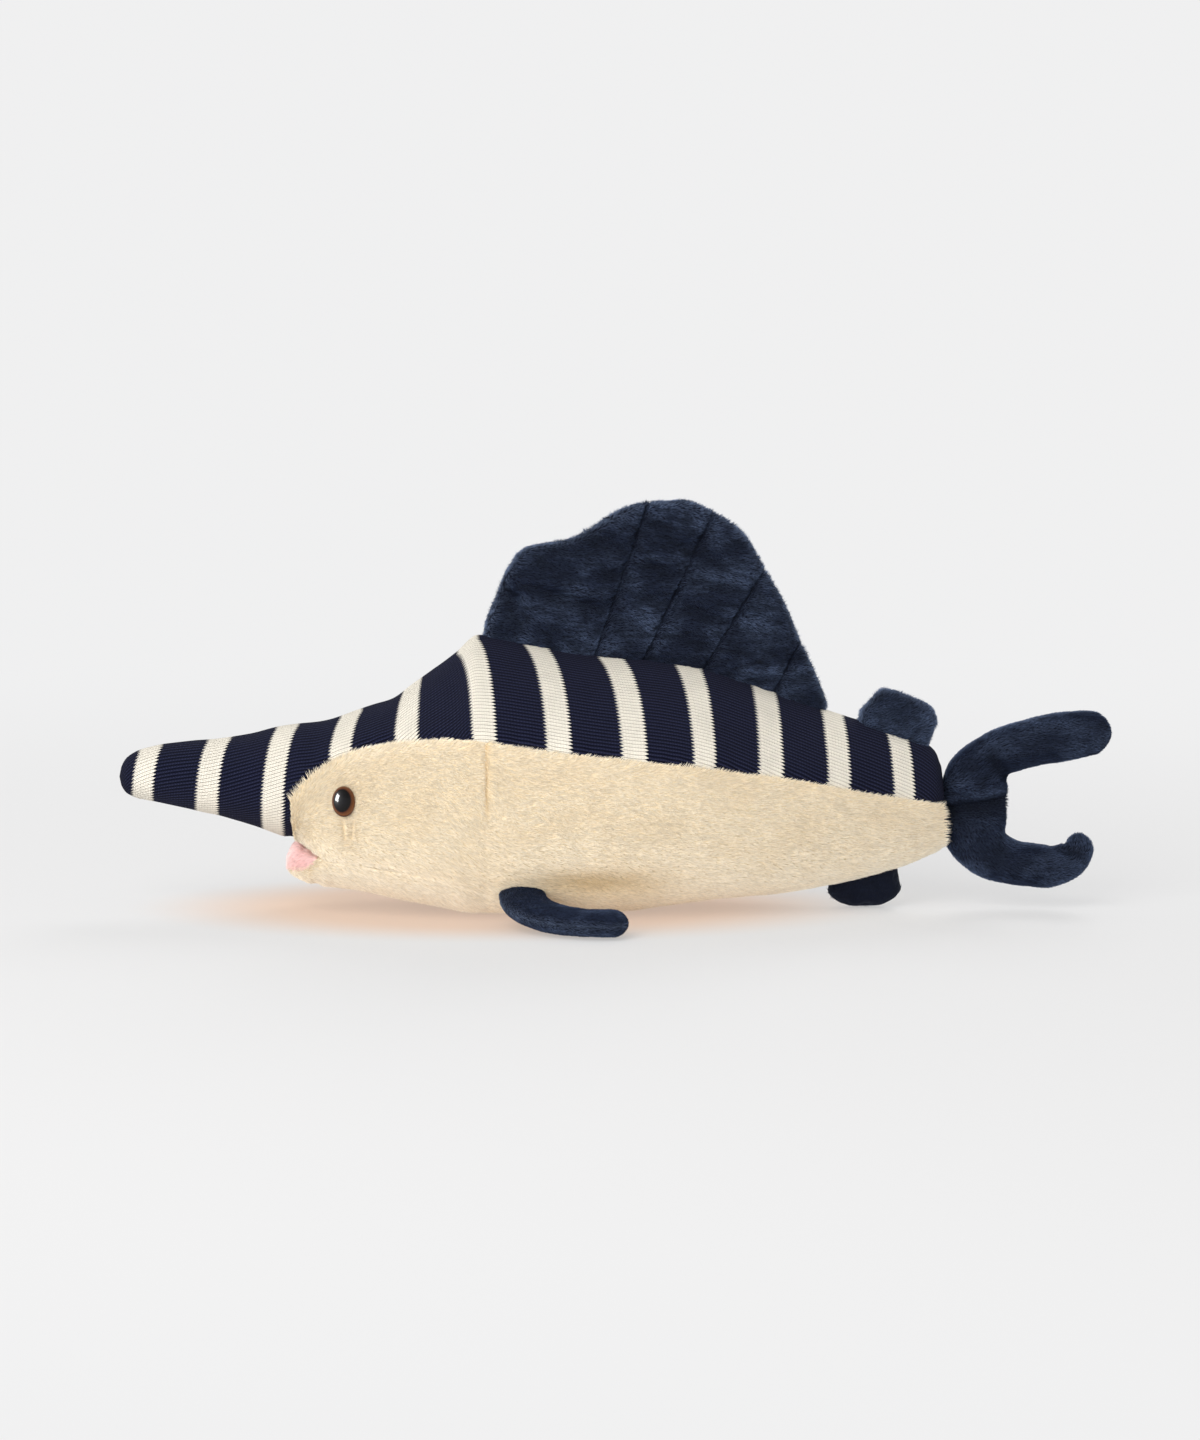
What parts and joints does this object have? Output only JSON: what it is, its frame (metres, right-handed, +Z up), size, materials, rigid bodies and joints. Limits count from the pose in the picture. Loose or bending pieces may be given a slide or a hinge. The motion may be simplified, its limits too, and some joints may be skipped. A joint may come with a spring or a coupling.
{
  "type": "plush swordfish toy",
  "caption": "Stuffed soft toy swordfish that lies on its belly, with a striped knit back and bill, a tall quilted sail fin, side fins and a forked tail.",
  "frame": {"origin": "on the floor, under the middle of the toy's length and width", "axes": "+X along the body from the bill to the tail, +Y to the toy's right, +Z up"},
  "size_m": [0.361, 0.1362, 0.1494],
  "materials": {
    "striped_knit": "soft jersey knit, dark navy with cream cross stripes",
    "cream_pile": "short cream plush pile",
    "navy_pile": "short dark navy plush pile",
    "pink_lining": "short pale pink plush pile",
    "eye_plastic": "glossy dark brown with a black pupil"
  },
  "bodies": {
    "root": {"bill": "striped_knit", "crown": "striped_knit", "back": "striped_knit", "face": "cream_pile", "lower_jaw": "cream_pile", "belly": "cream_pile", "mouth_lining": "pink_lining", "sail": "navy_pile", "rear_dorsal_fin": "navy_pile", "anal_fin": "navy_pile", "pectoral_fin_left": "navy_pile", "pectoral_fin_right": "navy_pile", "tail_root": "navy_pile", "tail_upper_lobe": "navy_pile", "tail_lower_lobe": "navy_pile", "eye_left": "eye_plastic", "eye_right": "eye_plastic"}
  },
  "joints": []
}
